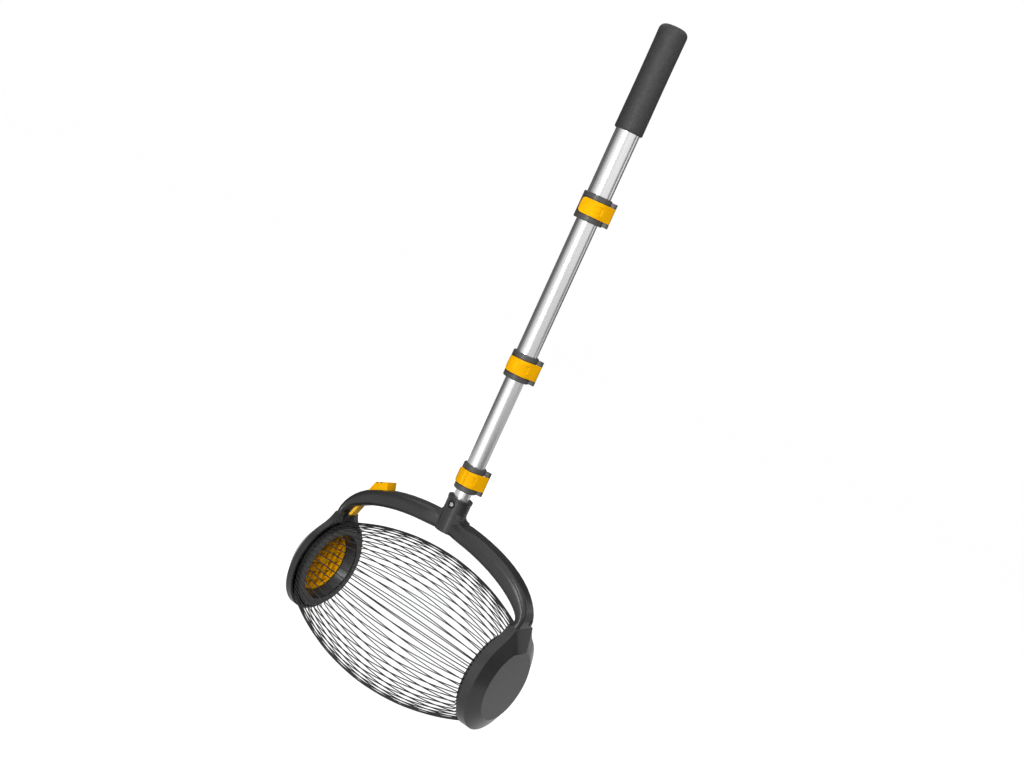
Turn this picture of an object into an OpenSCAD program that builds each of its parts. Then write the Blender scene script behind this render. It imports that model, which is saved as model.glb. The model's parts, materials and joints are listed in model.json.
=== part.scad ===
// Nut gatherer: a sprung wire cage that rolls in a fork on a telescopic handle.
// X runs along the roller's axis, Y away from the user, Z up the handle.
// The origin is on the ground under the middle of the roller.

/* [Cage] */
// Radius of the cage at its middle, to the wires' centres
cage_r = 87.4; // [80:0.2:92]
// Radius of the cage at its ends, to the wires' centres
cage_end_r = 57; // [55.5:0.5:58]
// Distance from the middle to the wires' bent ends
cage_reach = 124.4; // [110:0.2:140]
// Diameter of a cage wire
wire_d = 1.3; // [1:0.1:1.6]
// Number of wires round the cage
wire_count = 60; // [40:4:64]

/* [End rings] */
// Outside radius of the two pieces that hold the wires' ends
ring_r = 51.5; // [50.5:0.5:53]
// Width of those rims along the axis
ring_w = 6.6; // [5.4:0.2:7]
// How deep the wires' ends sit in the rims
seat_depth = 4; // [3:0.5:4.5]
// Radius of the collar that the left ring turns on
collar_r = 45; // [44:0.25:45.5]
// Inside radius of the left ring's lip
lip_r = 42.3; // [41.5:0.1:43]
// Radius of the axle that the right disc turns on
axle_r = 6; // [5:0.5:8]
// Thickness of the right disc's web
web_t = 3; // [2:0.5:4]

/* [End housings] */
// Radius of the round end housings
cup_r = 59; // [57.5:0.5:61]
// Width of the straight band round a housing
band_w = 11.8; // [10:0.2:14]
// Width of the straight band round the left housing
left_band_w = 7.8; // [7:0.2:12]
// Width of the bevel between the band and the end face
bevel_w = 9; // [7:0.5:10]
// Radius of the flat end face
face_r = 41.8; // [41:0.1:43]
// Wall of the housings
shell_t = 3; // [2:0.25:3.5]
// Radius of the discharge tunnel
tunnel_r = 37.5; // [35:0.5:38]
// Height of the seam between arm and housing above the axis
seam_h = 66.5; // [65:0.5:68]
// Radius of the flare from the neck into the housing
flare_r = 45; // [38:1:52]

/* [Yoke] */
// Height of the arch's top above the axis
arch_h = 131; // [128:1:138]
// Thickness of the arch at its middle
arch_t = 20; // [17:0.5:21]
// Depth of the arch on either side of the socket
arch_depth = 30; // [26:1:38]
// Depth of the arch at the socket
root_depth = 22; // [20:0.5:26]
// Depth of the neck above each housing
neck_depth = 26; // [22:0.5:28]
// Rounding of the arch's outer edges
edge_round = 8.5; // [4:0.5:9]
// Rounding of the arch's inner edges
inner_round = 6; // [2:0.5:8]
// Diameter of the handle socket
socket_d = 28.4; // [26:0.2:31]
// Height of the socket's top above the axis
socket_h = 154; // [150:1:157]

/* [Handle] */
// Outside diameter of the lowest tube
tube_d = 19; // [18:0.25:20]
// Step in diameter from one tube to the next
tube_step = 3; // [2.9:0.1:3.4]
// Wall of the tubes
tube_t = 1.2; // [1:0.05:1.3]
// Length of the lowest tube
tube_1_len = 224; // [200:1:240]
// Length of the second tube
tube_2_len = 250; // [225:1:262]
// Length of the third tube
tube_3_len = 242; // [220:1:246]
// Gap between the socket and the first clamp
clamp_1_gap = 9.5; // [7:0.5:26]
// Rise from the first clamp to the second
clamp_2_rise = 138.5; // [134:0.5:150]
// Rise from the second clamp to the third
clamp_3_rise = 191; // [186:0.5:201]
// Length of the grip
grip_len = 121.5; // [110:0.5:130]
// Diameter of the grip
grip_d = 33; // [31:0.5:36]
// Rise from the third clamp to the grip's lower end
grip_rise = 106; // [97:1:117]

/* [Clamps] */
// Height of a clamp
clamp_h = 31; // [30:0.5:36]
// Length of a clamp's lever round the clamp
lever_len = 42; // [38:0.5:43]
// Height of a clamp's lever
lever_h = 17.5; // [16:0.5:21]
// Wall of a clamp round its upper tube
clamp_t = 2.8; // [2.6:0.1:3.2]
// Thickness of a lever
lever_t = 1.7; // [1.5:0.1:1.9]
// Radius of a lever's hinge pin
clamp_pin_r = 1.5; // [1.2:0.1:1.8]

/* [Hatch and release] */
// Length of the release button along the arch
button_len = 26; // [25:0.5:31]
// Width of the release button
button_w = 18; // [14:0.5:20]
// How far the button stands out of the arch
button_h = 8.25; // [7:0.25:9]
// Width of the push rod along the roller's axis
rod_w = 6.5; // [5:0.25:7]
// Depth of the push rod
rod_depth = 11; // [8:0.5:12]
// Length of the hatch's crank
crank_len = 8; // [7:0.25:8.5]
// Opening angle of the hatch
hatch_angle = 60; // [40:1:60]
// Depth of the hatch in the tunnel
hatch_depth = 14.6; // [12:0.2:15]
// Distance between the hatch's ribs
rib_pitch = 12; // [10:0.5:16]

/* [Hidden] */
$fn = 96;

// Finishes
plastic = [0.25, 0.25, 0.25];
yellow = [0.96, 0.68, 0.03];
alloy = [0.78, 0.79, 0.80];
steel = [0.62, 0.62, 0.63];
black_wire = [0.07, 0.07, 0.07];
foam = [0.16, 0.16, 0.16];

// Overrun of cuts and the clearances of the fits
over = 1;
press_gap = 0.03;
run_gap = 0.07;
slide_gap = 0.1;
side_gap = 0.4;
loose_gap = 0.9;

// Wires: an arc through the two ends and the middle
wire_r = wire_d / 2;
cage_rise = cage_r - cage_end_r;
bow_r = (cage_reach * cage_reach + cage_rise * cage_rise) / (2 * cage_rise);
bow_c = cage_r - bow_r;
leg_share = 0.92;
leg_r = wire_r * leg_share;
tip_share = 0.6;
bow_angle = asin((cage_reach + wire_d * tip_share) / bow_r);
leg_foot = ring_r - seat_depth;
axis_h = cage_r + wire_r;

// Places along the axis
ring_in_x = cage_reach - ring_w / 2;
ring_out_x = cage_reach + ring_w / 2;
thrust_gap = 0.5;
rim_x = ring_out_x + thrust_gap;
bevel_x = rim_x + band_w;
face_x = bevel_x + bevel_w;
left_bevel_x = rim_x + left_band_w;

// Left ring and collar
lip_t = 1.4;
collar_tip_x = ring_in_x + lip_t + side_gap;
flange_r = 48;
flange_w = 2.8;
tunnel_wall_t = 3.5;
tunnel_wall_r = tunnel_r + tunnel_wall_t;
funnel_r = lip_r - side_gap;
funnel_x = face_x - hatch_depth - loose_gap;
mouth_flare = 1.9;
mouth_deep = 3.2;
mouth_r = tunnel_r + mouth_flare;

// Right disc and its axle
hub_r = axle_r * 2;
hub_proud = 1.2;
hub_out_x = rim_x + hub_proud;
hub_in_x = ring_in_x - thrust_gap;
rim_t = 8;
boss_t = 5;
boss_r = axle_r + boss_t;
stem_r = axle_r * 2 / 3;
head_t = 2.6;
head_r = axle_r * 1.5;
stem_in_x = hub_out_x + side_gap;
stem_out_x = face_x - 2 * shell_t;

// Neck of the housings and the joint with the arms
neck_half = neck_depth / 2;
flare_y = neck_half + flare_r;
flare_z = sqrt(pow(cup_r + flare_r, 2) - flare_y * flare_y);
touch_z = flare_z * cup_r / (cup_r + flare_r);
tenon_t = 2;
tenon_w = 20;
tenon_h = 13;
tenon_inset = 2.6;
tenon_x = rim_x + tenon_inset;
cap_screw_rise = 6.5;
cap_screw_y = 6;
cap_screw_z = seam_h + cap_screw_rise;
cap_screw_r = 1.5;
cap_head_r = 2.9;
cap_head_t = 2;
cap_head_sink = 0.6;

// Arch: outer and inner edges as curves from the middle to the seam
arm_in_x = rim_x;
arch_low = arch_h - arch_t;
outer_shares = [0.56, 1.043, 0.62];
inner_shares = [0.68, 1.08, 0.2];
inner_edge = [[0, arch_low], [inner_shares[0] * arm_in_x, arch_low],
  [inner_shares[1] * arm_in_x, seam_h + inner_shares[2] * (arch_low - seam_h)], [arm_in_x, seam_h]];
arch_steps = 20;
step_power = 1.35;
corner_steps = 5;
corner_share = 0.9;
fall_shares = [0.25, 0.86];
dip_shares = [0.5, 1.7];

// Socket and its screw
socket_r = socket_d / 2;
socket_lip = 0.6;
socket_lip_h = 4;
fillet_r = 7;
tube_floor = 3;
tube_foot = arch_low + tube_floor;
socket_screw_drop = 9;
socket_screw_z = socket_h - socket_screw_drop;
socket_screw_r = 2;
pan_r = 4.1;
pan_t = 2.6;
nut_r = 3.9;
nut_t = 3;

// Handle tubes and glide bushes
tube_r = [for (i = [0:3]) (tube_d + i * tube_step) / 2];
clamp_1_z = socket_h + clamp_1_gap;
clamp_2_z = clamp_1_z + clamp_2_rise;
clamp_3_z = clamp_2_z + clamp_3_rise;
clamp_z = [clamp_1_z, clamp_2_z, clamp_3_z];
grip_h = clamp_3_z + grip_rise;
step_share = 0.4;
tube_low = [tube_foot, for (z = clamp_z) z + clamp_h * step_share];
grip_end_t = 8.5;
tube_high = [tube_foot + tube_1_len, tube_low[1] + tube_2_len, tube_low[2] + tube_3_len,
  grip_h + grip_len - grip_end_t];
bush_flange = 3;
bush_plug = 9;
grip_round = 6;
grip_lip = 1.5;

// Clamps, in the clamp's own frame with its hinge on +X
hinge_turn = 25;
clamp_r = [for (i = [0:2]) tube_r[i + 1] + clamp_t];
hinge_out = 3.5;
lug_r = 3.1;
lug_half = 2.8;
lug_low = 1.2;
knuckle_r = 3;
lever_low_share = 0.5;
lever_low = (clamp_h - lever_h) * lever_low_share;
lever_proud = 0.4;
tab_proud = 1;
lever_wrap = [for (r = clamp_r) lever_len / r * 180 / PI];
lever_start = 6;
tab_wrap = 26;
tab_inset = 1;
slit_w = 1.6;
slit_turn = 52;
panel_shares = [0.32, 0.55];
panel_h_share = 0.55;
panel_deep = 0.7;
groove_share = 0.65;
groove_wrap = 4;
root_turns = [1, 18];
root_shares = [-0.12, 0.8];
root_inset = 0.6;
chamfer = 0.8;

// Push rod, crank and hatch, in a frame mirrored to +X
rod_tilt = 20;
rod_down = [sin(rod_tilt), -cos(rod_tilt)];
rod_across = [-cos(rod_tilt), -sin(rod_tilt)];
rod_gap = 0.7;
rod_at_cup = cage_reach + wire_r + rod_gap + rod_w / 2 / cos(rod_tilt);
hatch_r = tunnel_r - loose_gap;
hinge_rise = 5.2;
hinge_z = tunnel_r + hinge_rise;
crank_mid = crank_len * (1 + cos(hatch_angle / 2)) / 2;
hinge_x = rod_x(hinge_z) + crank_mid / cos(rod_tilt);
hinge = [hinge_x, hinge_z];
travel = 2 * crank_len * sin(hatch_angle / 2);
crank_end = hinge + crank_len * (cos(hatch_angle / 2) * rod_across - sin(hatch_angle / 2) * rod_down);
crank_tip_r = 2.4;
crank_t = 2;
crank_w = 8;
nose_w = 4;
nose_len = 7;
rod_end = crank_end + rod_across * ((crank_end - hinge) * rod_across - crank_mid) * -1
  - rod_down * (crank_tip_r + side_gap);
hatch_pin_r = 1.5;
hatch_knuckle_r = 2.9;
hatch_knuckle_w = 10;
pocket_w = 26;
cheek_t = 3.5;
pocket_room = 1.4;
pocket_top = hinge_z + hatch_knuckle_r + pocket_room;
pocket_in_x = rim_x + flange_w + side_gap;
plate_t = 2.4;
hatch_rim_t = 2.2;
rib_t = 1.8;
rib_drop = 1.2;
hatch_boss_r = 4.5;
coil_d = 0.8;
coil_r = 2.5;
coil_turns = 4.5;
coil_pitch = 1.25;
coil_from = hatch_knuckle_w / 2 + loose_gap;
coil_sides = 6;
coil_rings = 8;
coil_leg = 5.6;
coil_top_leg = pocket_top - hinge_z - side_gap;

// Button: its foot lies just under the left arm's outer edge
button_edge = outer_edge(-1);
button_mid_share = 0.512;
slope_share = 0.08;
button_mid = bez(button_edge, button_mid_share);
button_ends = [for (s = [-1, 1]) bez(button_edge, button_mid_share + s * slope_share)];
button_run = button_ends[1] - button_ends[0];
button_along = button_run / norm(button_run);
button_up = [-button_along[1], button_along[0]];
button_sunk = 2;
button_foot = button_mid - button_up * button_sunk;
rod_len = (button_foot - rod_end) * -rod_down + button_len / 2;
lean_share = -0.15;
notch_r = 1.4;
notch_shares = [-0.2, 0.02, 0.24];

function rod_x(z) = rod_at_cup + tan(rod_tilt) * (cup_r - z);
function bez(p, t) = pow(1 - t, 3) * p[0] + 3 * t * pow(1 - t, 2) * p[1]
  + 3 * t * t * (1 - t) * p[2] + pow(t, 3) * p[3];
function smooth(u) = let (v = max(0, min(1, u))) v * v * (3 - 2 * v);
function cone_x(r, edge_x) = face_x - (face_x - edge_x) * (r - face_r) / (cup_r - face_r);
function outer_edge(side) = let (x = side < 0 ? left_bevel_x : bevel_x)
  [[0, arch_h], [outer_shares[0] * bevel_x, arch_h],
   [outer_shares[1] * x, seam_h + outer_shares[2] * (arch_h - seam_h)], [x, seam_h]];
function cap_head_x(s) = (s == 0 ? bevel_x : left_bevel_x) - cap_head_sink - cap_head_t;
function flare_half(z) = flare_y - sqrt(flare_r * flare_r - pow(flare_z - z, 2));

// Half the arch's depth at a share t of the way from the middle to the seam
function arch_half(t, side) =
  let (m = (bez(outer_edge(side), t) + bez(inner_edge, t)) / 2,
       fall = smooth((t - fall_shares[0]) / (fall_shares[1] - fall_shares[0])),
       dip = 1 - smooth((m[0] / socket_r - dip_shares[0]) / (dip_shares[1] - dip_shares[0])),
       body = (arch_depth * (1 - fall) + neck_depth * fall - (arch_depth - root_depth) * dip) / 2)
  m[1] < flare_z ? max(body, flare_half(m[1])) : body;

// Triangles between rows of n points each, wound so that they face outwards
function skin_faces(rows, n) = [for (i = [0:rows - 2], j = [0:n - 1])
  let (k = (j + 1) % n, a = i * n, b = a + n) each [[a + j, a + k, b + k], [a + j, b + k, b + j]]];

// One rounded section across the arch, on the side given by its sign
function arch_section(t, side) =
  let (a = bez(inner_edge, t), b = bez(outer_edge(side), t), m = (a + b) / 2,
       h = norm(b - a) / 2, u = (b - a) / norm(b - a), w = arch_half(t, side))
  [for (k = [0:3], j = [0:corner_steps])
    let (turn = 90 * (k + j / corner_steps), out = k == 0 || k == 3,
         r = min(out ? edge_round : inner_round, corner_share * h, corner_share * w),
         p = (out ? 1 : -1) * (h - r) + r * cos(turn),
         q = (k < 2 ? 1 : -1) * (w - r) + r * sin(turn),
         s = m + u * p)
    [side * s[0], q, s[1]]];

module at_axis() { translate([0, 0, axis_h]) children(); }
module left() { mirror([1, 0, 0]) children(); }
module turned_x() { rotate([0, 90, 0]) rotate([0, 0, 90]) rotate_extrude() children(); }
module side_plate(w) { translate([0, w / 2, 0]) rotate([90, 0, 0]) linear_extrude(w) children(); }
module rod_x_cyl(r, x0, x1) { translate([x0, 0, 0]) rotate([0, 90, 0]) cylinder(r = r, h = x1 - x0); }
module y_cyl(r, w) { translate([0, w / 2, 0]) rotate([90, 0, 0]) cylinder(r = r, h = w); }

// Skin over all the arch's sections
module arch() {
  ts = [for (i = [-arch_steps:arch_steps]) pow(abs(i) / arch_steps, step_power) * (i < 0 ? -1 : 1)];
  n = 4 * (corner_steps + 1);
  rows = len(ts);
  points = [for (t = ts) each arch_section(abs(t), t < 0 ? -1 : 1)];
  first = [for (j = [n - 1:-1:0]) j];
  last = [for (j = [0:n - 1]) (rows - 1) * n + j];
  polyhedron(points = points, faces = [each skin_faces(rows, n), first, last]);
}

module tenon(grow) {
  translate([tenon_x - grow, -tenon_w / 2 - grow, seam_h - shell_t])
    cube([tenon_t + 2 * grow, tenon_w + 2 * grow, tenon_h + shell_t + grow]);
}

// Push rod seen from the front, cut off under the button's foot and the skin beside it
module rod_plan(w, from, to, grow) {
  foot = button_foot + button_up * grow;
  end = foot + button_along * (button_len / 2 + grow);
  intersection() {
    translate(rod_end) polygon([
      rod_across * w / 2 - rod_down * from, rod_across * -w / 2 - rod_down * from,
      rod_across * -w / 2 - rod_down * to, rod_across * w / 2 - rod_down * to]);
    polygon([foot - button_along * rod_len, end, end + (button_along - button_up) * rod_len,
      foot - button_along * rod_len - button_up * 2 * rod_len]);
  }
}

module button_plan(grow, drop) {
  a = button_foot + button_along * (button_len / 2 + grow) + rod_down * drop;
  b = button_foot - button_along * (button_len / 2 + grow) + rod_down * drop;
  rise = button_h + button_sunk;
  end = rod_down * -rise / (rod_down * -button_up);
  lean = button_along * rise * lean_share;
  polygon(drop == 0 ? [a, a + end, b + button_up * rise + lean, b]
    : [a, a - rod_down * (drop + rise), b - rod_down * (drop + rise), b]);
}

module yoke() {
  color(plastic) at_axis() difference() {
    union() {
      arch();
      translate([0, 0, arch_low + chamfer]) cylinder(r = socket_r, h = socket_h - arch_low - chamfer);
      translate([0, 0, socket_h - socket_lip_h]) rotate_extrude() polygon([[0, 0], [socket_r, 0],
        [socket_r + socket_lip, socket_lip], [socket_r + socket_lip, socket_lip_h - socket_lip],
        [socket_r, socket_lip_h], [0, socket_lip_h]]);
      intersection() {
        rotate_extrude() difference() {
          translate([0, arch_h - fillet_r]) square([socket_r + fillet_r, 2 * fillet_r]);
          translate([socket_r + fillet_r, arch_h + fillet_r]) circle(fillet_r);
        }
        translate([-arch_h, -root_depth / 2, 0]) cube([2 * arch_h, root_depth, socket_h]);
      }
    }
    translate([0, 0, tube_foot - side_gap]) cylinder(r = tube_r[0] + press_gap, h = socket_h);
    translate([0, 0, socket_screw_z]) y_cyl(socket_screw_r + press_gap, 3 * socket_r);
    translate([0, -socket_r + pan_t, socket_screw_z]) rotate([90, 0, 0])
      cylinder(r = pan_r + side_gap, h = socket_r);
    translate([0, socket_r - nut_t, socket_screw_z]) rotate([-90, 30, 0])
      cylinder(r = nut_r + slide_gap, h = socket_r, $fn = 6);
    for (s = [0, 1]) mirror([s, 0, 0]) {
      tenon(slide_gap);
      cap_screw_hole();
      translate([0, cap_screw_y, cap_screw_z]) rod_x_cyl(cap_head_r + side_gap, cap_head_x(s), face_x);
    }
    left() side_plate(button_w + 2 * side_gap) button_plan(side_gap, travel + side_gap);
    left() side_plate(rod_depth + 2 * side_gap) rod_plan(rod_w + 2 * side_gap, 0, rod_len, side_gap);
  }
}

// Outline of a housing seen along the axis: round below, flared into the neck above
flare_rows = 8;
round_rows = 60;
seam_rows = 4;
function flare_side(s) = [for (i = [0:flare_rows])
  let (z = seam_h + (touch_z - seam_h) * i / flare_rows) [s * flare_half(z), z]];
function cup_outline() =
  let (from = atan2(touch_z, flare_half(touch_z)), sweep = 180 + 2 * from,
       right = flare_side(1), left = flare_side(-1))
  [each right,
   for (i = [1:round_rows - 1]) let (a = from - sweep * i / round_rows) cup_r * [cos(a), sin(a)],
   for (i = [flare_rows:-1:0]) left[i],
   for (i = [1:seam_rows - 1]) left[0] + (right[0] - left[0]) * i / seam_rows];

// Outside of a housing: straight band, then a bevel drawn in to the round end face
module cup_solid(edge_x) {
  edge = cup_outline();
  n = len(edge);
  points = [for (p = edge) [rim_x, p[0], p[1]], for (p = edge) [edge_x, p[0], p[1]],
    for (p = edge) let (q = p * face_r / norm(p)) [face_x, q[0], q[1]], [rim_x, 0, 0], [face_x, 0, 0]];
  ends = [for (j = [0:n - 1]) let (k = (j + 1) % n) each [[3 * n, k, j], [3 * n + 1, 2 * n + j, 2 * n + k]]];
  polyhedron(points = points, faces = [each skin_faces(3, n), each ends]);
}

module cap_screw_hole() {
  translate([0, cap_screw_y, cap_screw_z]) rod_x_cyl(cap_screw_r + press_gap, tenon_x - over, face_x);
}

module right_cap() {
  in_r = cup_r - shell_t;
  color(plastic) at_axis() difference() {
    union() {
      difference() {
        cup_solid(bevel_x);
        turned_x() polygon([[0, rim_x - over], [in_r, rim_x - over], [in_r, cone_x(in_r, bevel_x) - shell_t],
          [face_r - shell_t / 2, face_x - shell_t], [0, face_x - shell_t]]);
      }
      rod_x_cyl(boss_r, stem_in_x, face_x - shell_t / 2);
      tenon(0);
    }
    rod_x_cyl(stem_r + press_gap, stem_in_x - over, stem_out_x + side_gap);
    cap_screw_hole();
  }
}

module left_housing() {
  in_r = cup_r - shell_t;
  color(plastic) at_axis() left() difference() {
    union() {
      difference() {
        cup_solid(left_bevel_x);
        turned_x() polygon([[tunnel_wall_r, rim_x + flange_w], [flange_r, rim_x + flange_w],
          [flange_r, rim_x - over], [in_r, rim_x - over], [in_r, cone_x(in_r, left_bevel_x) - shell_t],
          [tunnel_wall_r, cone_x(tunnel_wall_r, left_bevel_x) - shell_t - side_gap]]);
      }
      rod_x_cyl(collar_r, collar_tip_x, rim_x + flange_w / 2);
      intersection() {
        cup_solid(left_bevel_x);
        translate([rim_x + flange_w / 2, -pocket_w / 2 - cheek_t, tunnel_r])
          cube([face_x, pocket_w + 2 * cheek_t, pocket_top + shell_t - tunnel_r]);
      }
      tenon(0);
    }
    turned_x() polygon([[0, collar_tip_x - over], [funnel_r, collar_tip_x - over], [funnel_r, collar_tip_x],
      [tunnel_r, funnel_x], [tunnel_r, face_x - mouth_deep], [mouth_r, face_x], [mouth_r, face_x + over],
      [0, face_x + over]]);
    translate([pocket_in_x, -pocket_w / 2, 0]) cube([face_x, pocket_w, pocket_top]);
    translate([hinge_x, 0, hinge_z]) y_cyl(hatch_pin_r + press_gap, pocket_w + 2 * cheek_t - shell_t);
    side_plate(rod_depth + 2 * side_gap) rod_plan(rod_w + 2 * side_gap, -crank_len, rod_len, side_gap);
    cap_screw_hole();
  }
}

module cap_screws() {
  color(steel) at_axis() for (s = [0, 1]) mirror([s, 0, 0])
    translate([cap_head_x(s), cap_screw_y, cap_screw_z]) difference() {
      union() {
        rod_x_cyl(cap_screw_r, tenon_x + side_gap - cap_head_x(s), cap_head_t / 2);
        rod_x_cyl(cap_head_r, 0, cap_head_t);
      }
      cross_slot([cap_head_t, 0, 0], cap_head_r);
    }
}

// A cross recess cut into a screw head that faces +X
module cross_slot(at, r) {
  deep = r / 3;
  thin = r / 4;
  translate(at) for (a = [0, 90]) rotate([a, 0, 0])
    translate([-deep, -r * 2 / 3, -thin / 2]) cube([2 * deep, r * 4 / 3, thin]);
}

module socket_screw() {
  color(steel) at_axis() translate([0, 0, socket_screw_z]) rotate([0, 0, -90]) difference() {
    union() {
      rod_x_cyl(socket_screw_r, -socket_r + side_gap, socket_r - pan_t);
      rod_x_cyl(pan_r, socket_r - pan_t, socket_r - chamfer);
      rod_x_cyl(pan_r * 2 / 3, socket_r - pan_t, socket_r);
    }
    cross_slot([socket_r, 0, 0], pan_r);
  }
}

module socket_nut() {
  color(steel) at_axis() translate([0, socket_r - nut_t, socket_screw_z]) rotate([-90, 30, 0]) difference() {
    cylinder(r = nut_r, h = nut_t - side_gap, $fn = 6);
    translate([0, 0, -over]) cylinder(r = socket_screw_r + press_gap, h = nut_t + 2 * over);
  }
}

module right_axle() {
  x = hub_in_x - side_gap;
  color(steel) at_axis() {
    rod_x_cyl(head_r, x - head_t, x);
    rod_x_cyl(axle_r, x - head_t / 2, stem_in_x);
    rod_x_cyl(stem_r, stem_in_x - head_t, stem_out_x);
  }
}

// Radial holes that take the wires' bent ends
module leg_holes(side) {
  for (i = [0:wire_count - 1]) rotate([i * 360 / wire_count, 0, 0])
    translate([side * cage_reach, 0, leg_foot - press_gap])
      cylinder(r = leg_r + press_gap, h = seat_depth + over);
}

module left_ring() {
  bore = collar_r + run_gap;
  color(plastic) at_axis() difference() {
    left() turned_x() polygon([[bore, ring_out_x], [ring_r, ring_out_x], [ring_r, ring_in_x + chamfer],
      [ring_r - chamfer, ring_in_x], [lip_r, ring_in_x], [lip_r, ring_in_x + lip_t],
      [bore, ring_in_x + lip_t]]);
    leg_holes(-1);
  }
}

module right_disc() {
  in_r = ring_r - rim_t;
  mid = cage_reach;
  color(plastic) at_axis() difference() {
    turned_x() polygon([[axle_r + run_gap, hub_in_x], [hub_r, hub_in_x], [hub_r, mid - web_t / 2],
      [in_r, mid - web_t / 2], [in_r, ring_in_x], [ring_r - chamfer, ring_in_x],
      [ring_r, ring_in_x + chamfer], [ring_r, ring_out_x], [in_r, ring_out_x],
      [in_r, mid + web_t / 2], [hub_r, mid + web_t / 2],
      [hub_r, hub_out_x], [axle_r + run_gap, hub_out_x]]);
    leg_holes(1);
  }
}

// One wire: a bowed run with a bent leg at each end
module cage_wire() {
  leg_top = bow_c + sqrt(bow_r * bow_r - cage_reach * cage_reach);
  translate([0, bow_c, 0]) rotate(90 - bow_angle)
    rotate_extrude(angle = 2 * bow_angle) translate([bow_r, 0]) circle(wire_r, $fn = 24);
  for (s = [-1, 1]) translate([s * cage_reach, leg_foot, 0]) rotate([-90, 0, 0])
    cylinder(r = leg_r, h = leg_top - leg_foot, $fn = 24);
}

module cage_wires() {
  color(black_wire) at_axis() for (i = [0:wire_count - 1])
    rotate([90 + i * 360 / wire_count, 0, 0]) cage_wire();
}

module hatch() {
  in_x = face_x - hatch_depth;
  count = floor(hatch_r / rib_pitch);
  color(yellow) at_axis() left() difference() {
    union() {
      rod_x_cyl(hatch_r, face_x - plate_t, face_x);
      difference() {
        rod_x_cyl(hatch_r, in_x, face_x - plate_t / 2);
        rod_x_cyl(hatch_r - hatch_rim_t, in_x - over, face_x);
      }
      rod_x_cyl(hatch_boss_r, in_x, face_x - plate_t / 2);
      intersection() {
        rod_x_cyl(hatch_r - hatch_rim_t / 2, in_x + rib_drop, face_x - plate_t / 2);
        for (i = [-count:count]) {
          translate([0, i * rib_pitch - rib_t / 2, -hatch_r]) cube([face_x, rib_t, 2 * hatch_r]);
          translate([0, -hatch_r, i * rib_pitch - rib_t / 2]) cube([face_x, 2 * hatch_r, rib_t]);
        }
      }
      translate([hinge_x - hatch_knuckle_r, -hatch_knuckle_w / 2, hatch_r - hatch_rim_t])
        cube([2 * hatch_knuckle_r, hatch_knuckle_w, hinge_z - hatch_r + hatch_rim_t]);
      translate([hinge_x, 0, hinge_z]) y_cyl(hatch_knuckle_r, hatch_knuckle_w);
      translate([crank_end[0], 0, crank_end[1]]) y_cyl(crank_tip_r, crank_w);
      side_plate(crank_w) crank_plan();
    }
    translate([hinge_x, 0, hinge_z]) y_cyl(hatch_pin_r + run_gap, hatch_knuckle_w + 2 * over);
  }
}

module crank_plan() {
  run = (crank_end - hinge) / crank_len;
  off = [-run[1], run[0]] * crank_t / 2;
  polygon([hinge + off, crank_end + off, crank_end - off, hinge - off]);
}

module hatch_pin() {
  color(steel) at_axis() left() translate([hinge_x, 0, hinge_z])
    y_cyl(hatch_pin_r, pocket_w + 2 * cheek_t - shell_t - side_gap);
}

// Torsion coil on the pin, one tube from leg to leg
function coil_path() = [
  [coil_r, coil_from, -coil_leg],
  for (i = [0:coil_turns * coil_rings])
    let (a = 360 * i / coil_rings)
    [coil_r * cos(a), coil_from + coil_pitch * i / coil_rings, coil_r * sin(a)],
  [coil_r * cos(360 * coil_turns), coil_from + coil_pitch * coil_turns, coil_top_leg]];
function coil_frame(p, i) =
  let (a = p[max(0, i - 1)], b = p[min(len(p) - 1, i + 1)], t = (b - a) / norm(b - a),
       u = cross(t, [0, 1, 0]), v = u / norm(u), w = cross(t, v))
  [for (j = [0:coil_sides - 1]) let (a = 360 * j / coil_sides) p[i] + (v * cos(a) + w * sin(a)) * coil_d / 2];

module hatch_spring() {
  p = coil_path();
  n = coil_sides;
  rows = len(p);
  points = [for (i = [rows - 1:-1:0]) each coil_frame(p, i)];
  first = [for (j = [n - 1:-1:0]) j];
  last = [for (j = [0:n - 1]) (rows - 1) * n + j];
  echo(coil_gap = coil_pitch - coil_d);
  color(steel) at_axis() left() translate([hinge_x, 0, hinge_z])
    polyhedron(points = points, faces = [each skin_faces(rows, n), first, last]);
}

module release_lever() {
  color(yellow) at_axis() left() difference() {
    side_plate(button_w) button_plan(0, 0);
    for (s = notch_shares) translate(notch_place(s)) y_cyl(notch_r, button_w + 2 * over);
  }
}

function notch_place(s) =
  let (p = button_mid + button_along * s * button_len + button_up * button_h) [p[0], 0, p[1]];

// Rod from the button's foot down to the hatch's crank
module push_rod() {
  color(yellow) at_axis() left() union() {
    side_plate(rod_depth) rod_plan(rod_w, nose_len, rod_len, 0);
    side_plate(rod_depth) rod_plan(nose_w, 0, nose_len + over, 0);
  }
}

module tube(n) {
  color(alloy) at_axis() translate([0, 0, tube_low[n]]) difference() {
    cylinder(r = tube_r[n], h = tube_high[n] - tube_low[n]);
    translate([0, 0, -over]) cylinder(r = tube_r[n] - tube_t, h = tube_high[n] - tube_low[n] + 2 * over);
    if (n == 0) translate([0, 0, socket_screw_z - tube_low[0]])
      y_cyl(socket_screw_r + press_gap, 3 * socket_r);
  }
}

// Plug on the top of a tube whose flange glides in the next one
module tube_bush(n) {
  in_r = tube_r[n] - tube_t;
  color(plastic) at_axis() translate([0, 0, tube_high[n]]) difference() {
    union() {
      translate([0, 0, -bush_plug]) cylinder(r = in_r - press_gap, h = bush_plug + bush_flange);
      cylinder(r = tube_r[n + 1] - tube_t - slide_gap, h = bush_flange);
    }
    translate([0, 0, -bush_plug - over])
      cylinder(r = in_r - 2 * tube_t, h = bush_plug + bush_flange + 2 * over);
  }
}

module at_clamp(n) {
  at_axis() translate([0, 0, clamp_z[n]]) rotate([0, 0, hinge_turn]) children();
}

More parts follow.
